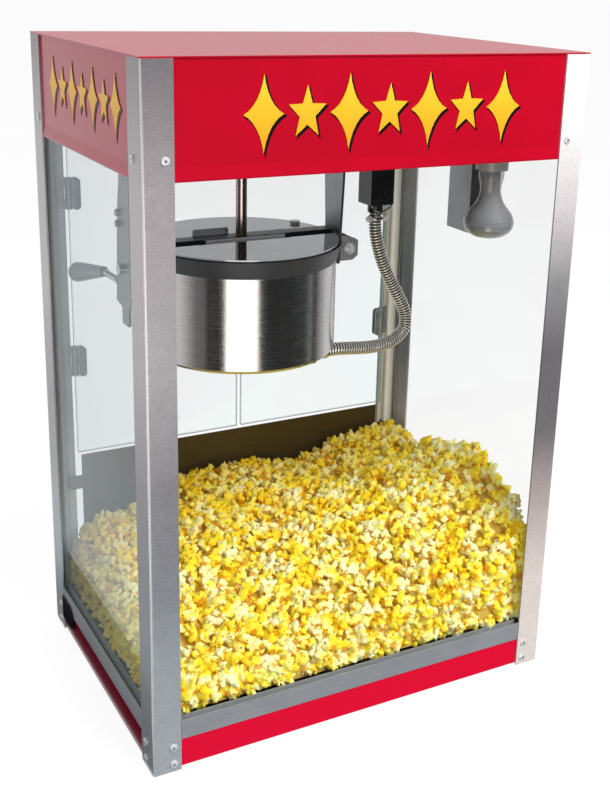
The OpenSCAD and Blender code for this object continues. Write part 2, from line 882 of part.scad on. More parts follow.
// Recessed inlet for a detachable lead, with three blades
module power_inlet() {
    color("black") translate([inlet_x, 0, rocker_z]) difference() {
        union() {
            block([-14, 158, -11], [14, post_inner_y, 11]);
            block([-33, post_inner_y, -23], [33, post_inner_y + 1.6, 23]);
        }
        block([-12, 164, -8], [12, 190, 8]);
    }
    color("silver") translate([inlet_x, 0, rocker_z]) for (blade = [[-7, -2], [0, 3], [7, -2]]) {
        block([blade[0] - 1, 164, blade[1] - 2], [blade[0] + 1, 172, blade[1] + 2]);
    }
}

// ---------- popcorn ----------

// Heights of the heap above the worktop, on a coarse grid: rows run front to back, columns left to right
heap_columns = [-244, -205, -160, -80, 0, 80, 160, 244];
heap_rows = [-170.5, -120, -50, 20, 90, 169];
heap_heights = [
    [82, 83, 84, 86, 90, 102, 128, 178],
    [92, 94, 98, 104, 112, 130, 164, 214],
    [112, 120, 126, 132, 144, 164, 202, 244],
    [120, 136, 146, 154, 158, 172, 196, 224],
    [108, 138, 146, 170, 174, 170, 184, 192],
    [98, 146, 142, 178, 183, 170, 193, 205]
];

function ease(t) = t * t * (3 - 2 * t);
function blend(a, b, t) = a + (b - a) * ease(t);
function heap_z(i, u, j, v) = blend(
    blend(heap_heights[j][i], heap_heights[j][i + 1], u),
    blend(heap_heights[j + 1][i], heap_heights[j + 1][i + 1], u), v);

// Closed solid between the deck and the heap's surface
module popcorn_heap() {
    cuts = 3;
    nx = cuts * (len(heap_columns) - 1);
    ny = cuts * (len(heap_rows) - 1);
    surface = [for (b = [0:ny]) for (a = [0:nx])
        let (i = min(floor(a / cuts), len(heap_columns) - 2), j = min(floor(b / cuts), len(heap_rows) - 2),
            u = a / cuts - i, v = b / cuts - j,
            x = heap_columns[i] + (heap_columns[i + 1] - heap_columns[i]) * u,
            y = heap_rows[j] + (heap_rows[j + 1] - heap_rows[j]) * v)
        [x, y, heap_z(i, u, j, v)]];
    floor_points = [for (p = surface) [p[0], p[1], deck_top]];
    count = (nx + 1) * (ny + 1);
    function at(a, b) = b * (nx + 1) + a;
    top = [for (b = [0:ny - 1]) for (a = [0:nx - 1])
        for (t = [[at(a, b), at(a, b + 1), at(a + 1, b + 1)], [at(a, b), at(a + 1, b + 1), at(a + 1, b)]]) t];
    bottom = [for (t = top) [count + t[2], count + t[1], count + t[0]]];
    edge_walls = concat(
        [for (a = [0:nx - 1]) [at(a, 0), at(a + 1, 0), count + at(a + 1, 0), count + at(a, 0)]],
        [for (a = [0:nx - 1]) [at(a + 1, ny), at(a, ny), count + at(a, ny), count + at(a + 1, ny)]],
        [for (b = [0:ny - 1]) [at(0, b + 1), at(0, b), count + at(0, b), count + at(0, b + 1)]],
        [for (b = [0:ny - 1]) [at(nx, b), at(nx, b + 1), count + at(nx, b + 1), count + at(nx, b)]]);
    color("khaki") polyhedron(concat(surface, floor_points), concat(top, bottom, edge_walls));
}

corner_posts();
base_pan();
deck_panel();
skirt_panels();
sill_trims();
corner_clips();
glass_front();
glass_left();
glass_right();
sign_front();
sign_left();
sign_right();
header_rear();
roof_panel();
canopy_floor();
rear_board();
corner_screws();
rubber_feet();
hinge_leaves();
door_left();
door_right();
door_hinge_left();
door_hinge_right();
door_knob_left();
door_knob_right();
kettle_shell();
kettle_pan();
kettle_rim();
kettle_base();
heating_element();
thermostat();
lid_crossbar();
lid_hinge_pins();
shaft_bush();
front_lid();
rear_lid();
agitator_shaft();
agitator_blades();
trunnion_pins();
handle_rod();
handle_grip();
kettle_gland();
hanger_left();
hanger_right();
pivot_yoke();
power_box();
kettle_conduit();
gear_motor();
motor_shaft();
drive_hub();
lamp_bracket();
lamp_socket();
lamp_bulb();
kernel_tray();
rocker_kettle();
rocker_motor();
rocker_lamp();
switch_housings();
power_inlet();
popcorn_heap();
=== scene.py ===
"""Countertop popcorn machine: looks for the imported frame. Metres, +Z up, front towards -Y."""

import math
import random

import bmesh
import bpy
import numpy as np
from mathutils import Matrix, Vector, bvhtree, noise


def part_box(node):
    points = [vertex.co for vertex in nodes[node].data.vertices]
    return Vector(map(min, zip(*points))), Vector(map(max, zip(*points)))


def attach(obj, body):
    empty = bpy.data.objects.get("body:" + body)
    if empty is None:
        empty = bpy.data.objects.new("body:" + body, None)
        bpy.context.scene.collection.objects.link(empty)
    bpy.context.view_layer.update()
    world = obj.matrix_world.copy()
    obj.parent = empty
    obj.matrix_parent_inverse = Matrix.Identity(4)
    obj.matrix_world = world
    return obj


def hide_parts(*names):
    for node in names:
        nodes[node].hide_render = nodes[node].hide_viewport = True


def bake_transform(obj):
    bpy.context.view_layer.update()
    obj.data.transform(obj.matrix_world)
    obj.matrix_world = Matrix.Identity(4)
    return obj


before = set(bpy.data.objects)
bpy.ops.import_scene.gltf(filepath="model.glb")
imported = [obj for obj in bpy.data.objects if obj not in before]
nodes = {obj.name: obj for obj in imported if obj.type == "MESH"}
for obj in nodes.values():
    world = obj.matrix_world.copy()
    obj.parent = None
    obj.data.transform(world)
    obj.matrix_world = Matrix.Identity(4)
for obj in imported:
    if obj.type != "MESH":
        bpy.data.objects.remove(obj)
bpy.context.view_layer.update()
scene = bpy.context.scene
scene.view_settings.view_transform = "Standard"

KETTLE_LOW, KETTLE_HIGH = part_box("kettle_shell")
KETTLE_X = (KETTLE_LOW.x + KETTLE_HIGH.x) / 2
POST_TOP = 0.75
POST_X, POST_Y = 0.255, 0.182


# ---------- camera ----------

def make_camera():
    """Viewpoint 29 degrees to the left of the front and 17 above, rolled a little."""
    yaw, pitch, roll = math.radians(29.38), math.radians(-17.37), math.radians(1.81)
    ahead = Vector((math.cos(pitch) * math.sin(yaw), math.cos(pitch) * math.cos(yaw), math.sin(pitch)))
    level = Vector((math.cos(yaw), -math.sin(yaw), 0))
    upright = level.cross(ahead)
    right = level * math.cos(roll) + upright * math.sin(roll)
    up = upright * math.cos(roll) - level * math.sin(roll)
    data = bpy.data.cameras.new("camera")
    data.sensor_width = 36.0
    data.lens = 53.7
    data.shift_x = -0.0444
    data.shift_y = -0.0762
    data.clip_end = 50
    camera = bpy.data.objects.new("camera", data)
    rows = Matrix((right, up, -ahead)).transposed()
    camera.matrix_world = Matrix.Translation((-0.6099, -1.1859, 0.8306)) @ rows.to_4x4()
    scene.collection.objects.link(camera)
    scene.camera = camera


make_camera()


# ---------- material helpers ----------

def srgb(red, green, blue):
    """Linear colour from 0-255 display values."""
    def linear(value):
        value /= 255
        return value / 12.92 if value <= 0.04045 else ((value + 0.055) / 1.055) ** 2.4
    return (linear(red), linear(green), linear(blue), 1.0)


class Look:
    """A material with one Principled shader and the node helpers that feed it."""

    def __init__(self, name, color, metallic=0.0, roughness=0.5, **sockets):
        self.material = bpy.data.materials.new(name)
        self.material.use_nodes = True
        self.tree = self.material.node_tree
        self.shader = self.tree.nodes["Principled BSDF"]
        self.shader.inputs["Base Color"].default_value = color
        self.shader.inputs["Metallic"].default_value = metallic
        self.shader.inputs["Roughness"].default_value = roughness
        for socket, value in sockets.items():
            self.shader.inputs[socket.replace("_", " ")].default_value = value

    def node(self, kind, **inputs):
        made = self.tree.nodes.new(kind)
        for socket, value in inputs.items():
            made.inputs[socket].default_value = value
        return made

    def link(self, out, into):
        self.tree.links.new(out, into)

    def where(self, stretch=(1, 1, 1), centre=(0, 0, 0)):
        """Position in the row frame, taken from centre and scaled along each axis."""
        place = self.node("ShaderNodeTexCoord")
        mapping = self.node("ShaderNodeMapping")
        mapping.inputs["Scale"].default_value = stretch
        mapping.inputs["Location"].default_value = [-c * s for c, s in zip(centre, stretch)]
        self.link(place.outputs["Object"], mapping.inputs["Vector"])
        return mapping.outputs["Vector"]

    def axes(self, vector):
        """X, Y and Z of a vector as separate sockets."""
        split = self.node("ShaderNodeSeparateXYZ")
        self.link(vector, split.inputs[0])
        return split.outputs

    def facing(self):
        """X, Y and Z of the surface's direction."""
        return self.axes(self.node("ShaderNodeTexCoord").outputs["Normal"])

    def attribute(self, name):
        made = self.node("ShaderNodeAttribute")
        made.attribute_name = name
        return made.outputs["Fac"]

    def noise(self, scale, detail=3.0, roughness=0.55, stretch=(1, 1, 1)):
        made = self.node("ShaderNodeTexNoise", Scale=scale, Detail=detail, Roughness=roughness)
        self.link(self.where(stretch), made.inputs["Vector"])
        return made.outputs["Fac"]

    def ramp(self, factor, stops):
        """stops are (position, colour or grey level)."""
        made = self.node("ShaderNodeValToRGB")
        elements = made.color_ramp.elements
        while len(elements) < len(stops):
            elements.new(0.5)
        for element, (position, value) in zip(elements, stops):
            element.position = position
            element.color = value if hasattr(value, "__len__") else (value, value, value, 1)
        self.link(factor, made.inputs["Fac"])
        return made.outputs["Color"]

    def mix(self, factor, a, b, mode="MIX"):
        made = self.node("ShaderNodeMix")
        made.data_type = "RGBA"
        made.blend_type = mode
        for socket, value in ((made.inputs[0], factor), (made.inputs[6], a), (made.inputs[7], b)):
            if isinstance(value, bpy.types.NodeSocket):
                self.link(value, socket)
            else:
                socket.default_value = value
        return made.outputs[2]

    def remap(self, value, **limits):
        """Map Range; limits are From_Min, From_Max, To_Min and To_Max, 0 to 1 if left out."""
        made = self.node("ShaderNodeMapRange")
        for limit, amount in limits.items():
            made.inputs[limit.replace("_", " ")].default_value = amount
        self.link(value, made.inputs["Value"])
        return made.outputs["Result"]

    def span(self, value, low, high):
        """0 at low and 1 at high."""
        return self.remap(value, From_Min=low, From_Max=high)

    def lerp(self, factor, low, high):
        """low at 0 and high at 1."""
        return self.remap(factor, To_Min=low, To_Max=high)

    def math(self, operation, a, b):
        made = self.node("ShaderNodeMath")
        made.operation = operation
        for value, socket in ((a, made.inputs[0]), (b, made.inputs[1])):
            if isinstance(value, bpy.types.NodeSocket):
                self.link(value, socket)
            else:
                socket.default_value = value
        return made.outputs[0]

    def times(self, a, b):
        return self.math("MULTIPLY", a, b)

    def tinted(self, color, shade):
        return self.mix(1.0, color, shade, "MULTIPLY")

    def mottled(self, color, cloud, darkest):
        """The colour, down to the darkest share of it where the cloud is thin."""
        return self.tinted(color, self.ramp(cloud, [(0.3, darkest), (0.7, 1.0)]))

    def color(self, socket):
        self.link(socket, self.shader.inputs["Base Color"])

    def rough(self, factor, low, high):
        """Roughness that varies with a factor of 0-1."""
        self.link(self.lerp(factor, low, high), self.shader.inputs["Roughness"])

    def bump(self, height, strength, distance):
        made = self.node("ShaderNodeBump", Strength=strength, Distance=distance)
        self.link(height, made.inputs["Height"])
        self.link(made.outputs["Normal"], self.shader.inputs["Normal"])


def galvanised():
    """Speckled angle stock with painted light and shade: painted shade darkens the left posts below the
    middle and the right posts in it, painted light brightens the right posts above and below.
    """
    look = Look("post_metal", srgb(196, 192, 194), metallic=0.42, roughness=0.34)
    place, turned = look.axes(look.where((1, 1, 1 / POST_TOP))), look.facing()
    # painted light and shade by height: one ramp for the left posts and one for the right, lit and shaded
    # copies of one material
    left = look.ramp(place["Z"], [
        (0.0, srgb(214, 224, 231)), (0.16, srgb(196, 206, 214)), (0.3, srgb(160, 164, 172)),
        (0.44, srgb(160, 158, 164)), (0.6, srgb(198, 193, 196)), (0.84, srgb(196, 188, 192)),
        (1.0, srgb(150, 144, 148))])
    right = look.ramp(place["Z"], [
        (0.0, srgb(246, 236, 230)), (0.16, srgb(240, 228, 220)), (0.32, srgb(182, 170, 168)),
        (0.42, srgb(120, 116, 120)), (0.55, srgb(113, 111, 117)), (0.66, srgb(150, 148, 150)),
        (0.78, srgb(222, 214, 216)), (0.9, srgb(255, 250, 250))])
    on_right = look.math("GREATER_THAN", place["X"], 0.0)
    tone = look.mix(on_right, left, right)
    look.link(look.lerp(on_right, 0.42, 0.1), look.shader.inputs["Metallic"])

    # painted reflection: upright bands on the inside of the rear right flange
    flange = look.axes(look.where((1 / 0.0295, 1 / 0.03, 1), (0.224, 0.15, 0)))
    painted_reflection_bands = look.ramp(flange["X"], [
        (0.0, srgb(120, 114, 100)), (0.12, srgb(214, 206, 186)), (0.36, srgb(150, 142, 124)),
        (0.52, srgb(255, 252, 240)), (0.8, srgb(255, 250, 236)), (0.94, srgb(120, 116, 108))])
    reflection_band_mask = look.times(look.span(flange["Y"], 0.6, 0.62), look.span(turned["Y"], -0.8, -0.9))
    tone = look.mix(look.times(reflection_band_mask, on_right), tone, painted_reflection_bands)

    # painted shade on the outer side of the front left post, darker towards the floor
    painted_side_shade = look.ramp(place["Z"], [
        (0.0, 0.8), (0.05, 0.74), (0.13, 0.44), (0.32, 0.6), (0.53, 0.84), (0.75, 1.0)])
    shaded_side_mask = look.times(look.span(turned["X"], -0.8, -0.9), look.span(place["Y"], 0.0, -0.01))
    tone = look.mix(shaded_side_mask, tone, look.tinted(tone, painted_side_shade))

    # painted highlight: a bright line along the rounded corner
    corner = look.span(look.times(turned["X"], turned["Y"]), 0.36, 0.44)
    tone = look.mix(corner, tone, srgb(255, 255, 255))

    fine = look.noise(650, 2.0, 0.7)
    blotch = look.noise(70, 3.0)
    grain = look.ramp(fine, [(0.34, 0.78), (0.5, 0.92), (0.66, 1.0)])
    look.color(look.tinted(tone, look.mottled(grain, blotch, 0.94)))
    look.rough(blotch, 0.28, 0.4)
    look.bump(fine, 0.2, 0.0004)
    return look.material


def brushed(name, color, along, roughness=0.3, metallic=1.0, contrast=0.75, fine=1500):
    """Sheet metal with grain along one axis: 0 for X, 1 for Y, 2 for Z."""
    look = Look(name, color, metallic=metallic, roughness=roughness)
    stretch = [1.0, 1.0, 1.0]
    stretch[along] = 0.02
    lines = look.noise(fine, 2.0, 0.6, stretch)
    shade = look.ramp(lines, [(0.25, contrast), (0.75, 1.0)])
    look.color(look.tinted(color, look.mottled(shade, look.noise(25, 2.0), 0.9)))
    look.rough(lines, roughness * 0.75, roughness * 1.3)
    look.bump(lines, 0.12, 0.0002)
    return look.material


def red_paint():
    """Glossy enamel on sheet steel, with a faint orange peel and painted light and shade for each side."""
    look = Look("red_enamel", srgb(186, 3, 30), roughness=0.22, Coat_Weight=0.12, Coat_Roughness=0.06,
                IOR=1.42)
    tone = look.ramp(look.noise(12, 3.0), [(0.3, srgb(178, 1, 30)), (0.7, srgb(190, 1, 36))])
    turned, place = look.facing(), look.axes(look.where())
    skirt = look.span(place["Z"], 0.1, 0.09)
    to_left = look.span(turned["X"], -0.5, -0.7)
    to_front = look.span(turned["Y"], -0.5, -0.7)
    # painted light and shade by facing: own reds for top and left faces, painted shade on the left skirt,
    # painted light on the front skirt
    tone = look.mix(look.span(turned["Z"], 0.5, 0.7), tone, srgb(188, 0, 44))
    tone = look.mix(to_left, tone, srgb(176, 0, 48))
    tone = look.mix(look.times(to_left, skirt), tone, srgb(122, 1, 34))
    look.color(look.mix(look.times(to_front, skirt), tone, srgb(226, 4, 50)))
    peel = look.noise(450, 1.0)
    look.rough(peel, 0.18, 0.3)
    look.bump(peel, 0.05, 0.0002)
    return look.material


def turned_steel(name, color, roughness, smear=0.85, wave=0.3, metallic=1.0):
    """Skin turned about the kettle's axis: lines run round it, so highlights stretch upwards."""
    look = Look(name, color, metallic=metallic, roughness=roughness)
    look.shader.inputs["Anisotropic"].default_value = smear
    upright = look.node("ShaderNodeVectorTransform")
    upright.vector_type, upright.convert_from, upright.convert_to = "VECTOR", "OBJECT", "WORLD"
    upright.inputs[0].default_value = (0, 0, 1)
    look.link(upright.outputs[0], look.shader.inputs["Tangent"])
    lines = look.noise(900, 3.0, 0.7, (0.03, 0.03, 1.0))
    look.color(look.tinted(color, look.ramp(lines, [(0.25, 0.8), (0.75, 1.0)])))
    look.rough(lines, roughness * 0.7, roughness * 1.4)
    look.bump(look.noise(520, 2.0, 0.6, (0.14, 0.14, 1.0)), wave, 0.0007)
    return look.material


def mirror_steel(name, color, roughness=0.12, metallic=1.0):
    """Bright sheet steel with faint smears."""
    look = Look(name, color, metallic=metallic, roughness=roughness)
    smear = look.noise(160, 3.0)
    look.color(look.mottled(color, smear, 0.85))
    look.rough(smear, roughness * 0.7, roughness * 1.6)
    return look.material


def bolted_steel():
    """Grey bracket whose bolt, standing out in front of it, is bright."""
    grey, bright = srgb(120, 120, 122), srgb(240, 240, 238)
    look = Look("yoke_steel", grey, metallic=0.5, roughness=0.3)
    on_bolt = look.span(look.axes(look.where())["Y"], -0.0149, -0.0153)
    smear = look.noise(160, 3.0)
    look.color(look.mottled(look.mix(on_bolt, grey, bright), smear, 0.85))
    look.rough(smear, 0.22, 0.45)
    return look.material


def lid_steel():
    """Mirror on the level faces; the folded edges are duller."""
    dull, bright = srgb(150, 153, 157), srgb(206, 208, 212)
    look = Look("lid_steel", bright, metallic=1.0, roughness=0.05)
    level = look.remap(look.facing()["Z"], From_Min=0.8, From_Max=0.95, To_Min=0.3)
    look.link(level, look.shader.inputs["Metallic"])
    smear = look.noise(90, 3.0)
    look.color(look.mottled(look.mix(level, dull, bright), smear, 0.9))
    look.rough(smear, 0.03, 0.09)
    return look.material


def moulded(name, color, roughness=0.35, grain=700):
    """Moulded plastic or rubber with a fine grain."""
    look = Look(name, color, roughness=roughness)
    fine = look.noise(grain, 2.0)
    look.color(look.mottled(color, look.noise(60, 2.0), 0.8))
    look.rough(fine, roughness * 0.85, roughness * 1.2)
    look.bump(fine, 0.1, 0.0002)
    return look.material


def pane(name, tint, veil, metallic=0.4):
    """Clear sheet: nearly all passes through, and the mirror grows towards grazing sight."""
    look = Look(name, tint, metallic=metallic, roughness=0.02)
    look.color(look.mottled(tint, look.noise(9, 3.0), 0.93))
    grazing = look.node("ShaderNodeLayerWeight", Blend=0.5).outputs["Facing"]
    look.link(look.lerp(look.math("POWER", grazing, 5.0), veil, 1.0), look.shader.inputs["Alpha"])
    return look.material


def ground_edge(name, color, alpha):
    """Ground edge of a sheet: a grey line."""
    look = Look(name, color, roughness=0.35, Alpha=alpha)
    look.color(look.mottled(color, look.noise(80), 0.8))
    return look.material


def ribbed_steel():
    """Painted highlights on the ridges and painted shade in the grooves, told apart by the mesh's own
    lift.
    """
    look = Look("conduit_steel", srgb(196, 192, 184), metallic=0.7, roughness=0.24)
    # painted shade in the grooves and painted highlight on the ridges, ramped by lift
    tone = look.ramp(look.attribute("lift"), [
        (0.0, srgb(40, 36, 32)), (0.4, srgb(150, 145, 136)), (0.8, srgb(255, 252, 244))])
    look.color(look.mottled(tone, look.noise(120), 0.8))
    look.rough(look.noise(300), 0.16, 0.34)
    return look.material


def reflector_bulb():
    """Frosted face in greys by height, partly its own grey and partly painted reflection of a dark room;
    it clears towards the neck.
    """
    low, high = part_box("lamp_bulb")
    look = Look("bulb_glass", srgb(150, 150, 152), roughness=0.16, Coat_Weight=0.6)
    height = look.axes(look.where((1, 1, 1 / (high.z - low.z)), (0, 0, low.z)))["Z"]
    # grey tones by height: partly the frosting's own grey, partly painted reflection
    tone = look.ramp(height, [
        (0.0, srgb(176, 176, 178)), (0.2, srgb(132, 133, 136)), (0.5, srgb(146, 147, 150)),
        (1.0, srgb(214, 212, 208))])
    look.color(look.mottled(tone, look.noise(60), 0.9))
    clear = look.ramp(height, [(0.0, 1.0), (0.52, 1.0), (0.72, 0.55), (1.0, 0.4)])
    look.link(clear, look.shader.inputs["Alpha"])
    return look.material


def popped_corn():
    """Cream flakes with butter yellow patches and brown hull flecks; creases partly hull colour and partly
    painted shade, painted shadow at the back and left, and a faint painted glow.
    """
    look = Look("popped_corn", srgb(250, 240, 200), roughness=0.6, Subsurface_Weight=0.25,
                Subsurface_Scale=0.004)
    buttered = look.math("ADD", look.noise(48, 3.0, 0.55), look.attribute("butter"))
    butter = look.ramp(buttered, [
        (0.38, srgb(255, 250, 196)), (0.49, srgb(255, 245, 132)), (0.58, srgb(255, 230, 56)),
        (0.75, srgb(255, 221, 36))])
    # creases: partly the hull's warmer colour, partly painted shade
    crease = look.ramp(look.attribute("lift"), [
        (0.0, srgb(208, 154, 66)), (0.22, srgb(255, 240, 180)), (0.45, (1, 1, 1, 1))])
    body = look.tinted(butter, crease)
    place = look.axes(look.where())
    # painted shadow towards the back
    painted_back_shadow = look.ramp(look.span(place["Y"], -0.02, 0.15), [(0.0, (1, 1, 1, 1)), (1.0, srgb(204, 190, 140))])
    body = look.tinted(body, painted_back_shadow)
    # painted shade on the flakes by the left glass
    left_glass_shade_mask = look.span(place["X"], -0.2, -0.235)
    body = look.mix(left_glass_shade_mask, body, look.tinted(body, srgb(206, 206, 150)))
    fleck = look.ramp(look.noise(190, 2.0), [(0.0, 0.0), (0.655, 0.0), (0.69, 0.9)])
    body = look.mix(fleck, body, srgb(140, 66, 18))
    look.color(body)
    # painted light: the flakes glow faintly in their own colour to lift their shade
    look.link(body, look.shader.inputs["Emission Color"])
    look.shader.inputs["Emission Strength"].default_value = 0.115
    puff = look.node("ShaderNodeTexVoronoi", Scale=190)
    look.link(look.where(), puff.inputs["Vector"])
    low_puff = look.ramp(puff.outputs["Distance"], [(0.0, 1.0), (0.5, 0.6), (1.0, 0.0)])
    look.bump(look.mix(0.35, low_puff, look.noise(520, 3.0, 0.65)), 0.7, 0.0022)
    return look.material


def ornament_yellow():
    """Screen-printed yellow that warms towards the bottom."""
    look = Look("ornament_yellow", srgb(255, 196, 30), roughness=0.4)
    height = look.axes(look.where((1, 1, 1 / 0.07), (0, 0, 0.661)))["Z"]
    tone = look.ramp(height, [(0.0, srgb(244, 160, 14)), (1.0, srgb(255, 206, 46))])
    look.color(look.mottled(tone, look.noise(300), 0.93))
    return look.material


looks = {
    "post": galvanised(),
    "sill": brushed("sill_aluminium", srgb(182, 187, 194), 0, 0.34, 0.35),
    "sheet": brushed("stainless_sheet", srgb(150, 150, 152), 2, 0.32, 0.9),
    "flat_sheet": brushed("stainless_flat", srgb(150, 150, 150), 0, 0.34, 0.9),
    "deck": brushed("deck_steel", srgb(70, 66, 62), 0, 0.4, 0.9),
    "board": brushed("dark_board", srgb(96, 86, 62), 0, 0.3, 0.8),
    "red": red_paint(),
    "kettle": turned_steel("kettle_steel", srgb(206, 203, 201), 0.24, wave=0.06),
    "band": turned_steel("kettle_band", srgb(74, 74, 77), 0.42, 0.3, 0.05, 0.4),
    "dark": brushed("dark_steel", srgb(78, 78, 80), 0, 0.3, 0.9),
    "lid": lid_steel(),
    "clamp": mirror_steel("clamp_steel", srgb(150, 148, 142), 0.28, 0.55),
    "screw": mirror_steel("screw_steel", srgb(240, 240, 242), 0.25, 0.3),
    "yoke": bolted_steel(),
    "conduit": ribbed_steel(),
    "chrome": mirror_steel("bright_steel", srgb(205, 204, 204), 0.14),
    "shaft": mirror_steel("shaft_steel", srgb(176, 160, 156), 0.16),
    "brass": mirror_steel("bush_brass", srgb(200, 160, 90), 0.25),
    "heater": brushed("heater_sheath", srgb(104, 80, 66), 0, 0.5, 0.8),
    "black": moulded("black_plastic", srgb(34, 32, 37), 0.25),
    "rubber": moulded("black_rubber", srgb(26, 26, 27), 0.7),
    "grip": moulded("grey_grip", srgb(138, 140, 142), 0.3),
    "ceramic": moulded("ceramic", srgb(226, 222, 214), 0.3),
    "rocker": moulded("red_rocker", srgb(190, 24, 20), 0.25),
    "bulb": reflector_bulb(),
    "glass": pane("front_glass", srgb(176, 214, 222), 0.02, 1.0),
    "side_glass": pane("side_glass", srgb(190, 210, 220), 0.035),
    "acrylic": pane("door_acrylic", srgb(130, 240, 255), 0.07),
    "glass_edge": ground_edge("glass_edge", srgb(120, 140, 132), 0.75),
    "acrylic_edge": ground_edge("acrylic_edge", srgb(128, 136, 138), 0.8),
    "corn": popped_corn(),
    "crumb": moulded("corn_crumb", srgb(222, 184, 84), 0.8, 260),
    "yellow": ornament_yellow(),
    "shadow": moulded("ornament_black", srgb(20, 16, 18), 0.4),
}

NODE_LOOKS = {
    "post": ["corner_posts"],
    "sill": ["sill_trims"],
    "sheet": ["hanger_left", "hanger_right", "lamp_bracket", "gear_motor"],
    "flat_sheet": ["base_pan", "canopy_floor", "kernel_tray"],
    "deck": ["deck_panel"],
    "board": ["rear_board"],
    "red": ["skirt_panels", "sign_front", "sign_left", "sign_right", "header_rear", "roof_panel"],
    "kettle": ["kettle_shell"],
    "band": ["kettle_rim", "kettle_pan", "kettle_base"],
    "dark": ["lid_crossbar", "drive_hub"],
    "yoke": ["pivot_yoke"],
    "screw": ["corner_screws"],
    "lid": ["front_lid", "rear_lid"],
    "clamp": ["hinge_leaves", "door_hinge_left", "door_hinge_right"],
    "chrome": ["lid_hinge_pins", "agitator_blades", "trunnion_pins", "handle_rod", "kettle_gland",
               "motor_shaft"],
    "shaft": ["agitator_shaft"],
    "brass": ["shaft_bush"],
    "heater": ["heating_element"],
    "black": ["corner_clips", "door_knob_left", "door_knob_right", "power_box", "switch_housings",
              "power_inlet"],
    "rubber": ["rubber_feet"],
    "grip": ["handle_grip"],
    "ceramic": ["thermostat", "lamp_socket"],
    "rocker": ["rocker_kettle", "rocker_motor", "rocker_lamp"],
    "bulb": ["lamp_bulb"],
}

for look, members in NODE_LOOKS.items():
    for name in members:
        nodes[name].data.materials.clear()
        nodes[name].data.materials.append(looks[look])


# ---------- mesh helpers ----------

def add_mesh(name, verts, faces, look, body, smooth=True):
    """A new piece from vertex and face lists, riding on a body if one is named."""
    mesh = bpy.data.meshes.new(name)
    mesh.from_pydata([tuple(v) for v in verts], [], faces)
    mesh.validate()
    mesh.materials.append(looks[look])
    piece = bpy.data.objects.new(name, mesh)
    scene.collection.objects.link(piece)
    if smooth:
        mesh.shade_smooth()
    if body:
        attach(piece, body)
    return piece


def smooth_path(points, steps):
    """Catmull-Rom through the points, with steps pieces to each span."""
    points = [Vector(p) for p in points]
    ends = [points[0]] + points + [points[-1]]
    path = []
    for a, b, c, d in zip(ends, ends[1:], ends[2:], ends[3:]):
        for k in range(steps):
            t = k / steps
            path.append(0.5 * (2 * b + (c - a) * t + (2 * a - 5 * b + 4 * c - d) * t * t
                               + (3 * b - a - 3 * c + d) * t ** 3))
    path.append(points[-1])
    return path


def tube_faces(spans, sides):
    """Quads between spans + 1 rings of points, and a cap on each end."""
    faces = [[k * sides + s, k * sides + (s + 1) % sides, (k + 1) * sides + (s + 1) % sides,
              (k + 1) * sides + s] for k in range(spans) for s in range(sides)]
    faces.append(list(range(sides))[::-1])
    faces.append([spans * sides + s for s in range(sides)])
    return faces


# ---------- panes ----------

def make_pane(node, look, body):
    """Sheet with ground edges, in place of the plain CAD sheet."""
    low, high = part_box(node)
    grown = bmesh.new()
    bmesh.ops.create_cube(grown, size=1.0)
    for vert in grown.verts:
        vert.co = Vector([(l + h) / 2 + c * (h - l) for l, h, c in zip(low, high, vert.co)])
    bmesh.ops.bevel(grown, geom=grown.edges[:], offset=0.0008, segments=2, affect="EDGES")
    mesh = bpy.data.meshes.new(node + "_sheet")
    grown.to_mesh(mesh)
    grown.free()
    mesh.materials.append(looks[look])
    mesh.materials.append(looks["acrylic_edge" if look == "acrylic" else "glass_edge"])
    thin = min(range(3), key=lambda axis: (high - low)[axis])
    for face in mesh.polygons:
        face.material_index = 0 if abs(face.normal[thin]) > 0.9 else 1
    piece = bpy.data.objects.new(node + "_sheet", mesh)
    scene.collection.objects.link(piece)
    piece.visible_shadow = False
    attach(piece, body)
    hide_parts(node)


make_pane("glass_front", "glass", "cabinet")
make_pane("glass_left", "side_glass", "cabinet")
make_pane("glass_right", "side_glass", "cabinet")
make_pane("door_left", "acrylic", "left_door")
make_pane("door_right", "acrylic", "right_door")


# ---------- conduit ----------

CONDUIT_ROUTE = [
    (101, 0, 554), (101, 0, 548), (101.2, 0, 540), (102, 0, 530), (104, 0, 519), (107, 0, 508),
    (111, 0, 496), (116, 0, 484.5), (121.8, 0, 473), (128.2, 0, 461), (135, -1, 449), (141.5, -2, 437),
    (146, -4, 425), (146.5, -7, 413), (142, -10, 403), (132, -13, 396), (119, -17, 392),
    (105, -20, 390.5), (91, -22, 390.5), (77, -25, 392), (63, -27, 394), (49, -29, 396),
    (36, -30, 397.3), (26, -30, 397.5), (18, -30, 397.5),
]
CONDUIT_R = 0.0079
CONDUIT_PITCH = 0.0036
GROOVE_DEPTH = 0.13


